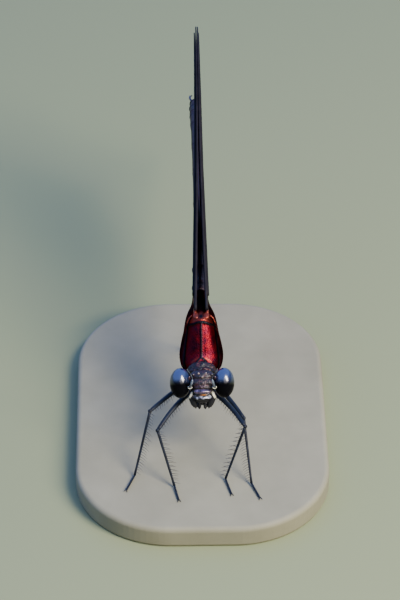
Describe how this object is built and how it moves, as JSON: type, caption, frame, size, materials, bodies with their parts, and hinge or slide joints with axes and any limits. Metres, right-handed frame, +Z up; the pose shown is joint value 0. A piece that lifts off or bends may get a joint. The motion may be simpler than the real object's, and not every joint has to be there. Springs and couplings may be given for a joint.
{
  "type": "damselfly model",
  "caption": "Life-size male demoiselle damselfly with dark wings closed over its back, standing on a flat display base.",
  "frame": {"origin": "middle of the display base's underside", "axes": "+Z up, head looking towards -Y, abdomen towards +Y, +X towards the insect's own left"},
  "size_m": [0.024, 0.0573, 0.0278],
  "materials": {
    "head_cuticle": "dark metallic copper-violet cuticle",
    "eye": "glossy black compound eye",
    "antenna": "dark grey-blue",
    "mouthparts": "glossy black with pale spots",
    "thorax_cuticle": "metallic copper-red plates with black seams",
    "abdomen_cuticle": "dark metallic copper-violet",
    "wing": "dark brown membrane with black veins",
    "leg": "black with a blue-grey sheen",
    "stand": "plain pale painted plate"
  },
  "bodies": {
    "root": {"abdomen_base": "abdomen_cuticle", "abdomen_front": "abdomen_cuticle", "abdomen_middle": "abdomen_cuticle", "abdomen_rear": "abdomen_cuticle", "abdomen_tip": "abdomen_cuticle", "antenna_left": "antenna", "antenna_right": "antenna", "clasper_left": "abdomen_cuticle", "clasper_right": "abdomen_cuticle", "eye_left": "eye", "eye_right": "eye", "forewing_left": "wing", "forewing_right": "wing", "front_leg_left_femur": "leg", "front_leg_left_tarsus": "leg", "front_leg_left_tibia": "leg", "front_leg_right_femur": "leg", "front_leg_right_tarsus": "leg", "front_leg_right_tibia": "leg", "head": "head_cuticle", "hind_leg_left_femur": "leg", "hind_leg_left_tarsus": "leg", "hind_leg_left_tibia": "leg", "hind_leg_right_femur": "leg", "hind_leg_right_tarsus": "leg", "hind_leg_right_tibia": "leg", "hindwing_left": "wing", "hindwing_right": "wing", "labium": "mouthparts", "mandible_left": "mouthparts", "mandible_right": "mouthparts", "middle_leg_left_femur": "leg", "middle_leg_left_tarsus": "leg", "middle_leg_left_tibia": "leg", "middle_leg_right_femur": "leg", "middle_leg_right_tarsus": "leg", "middle_leg_right_tibia": "leg", "prothorax": "thorax_cuticle", "stand_base": "stand", "thorax": "thorax_cuticle"}
  },
  "joints": []
}
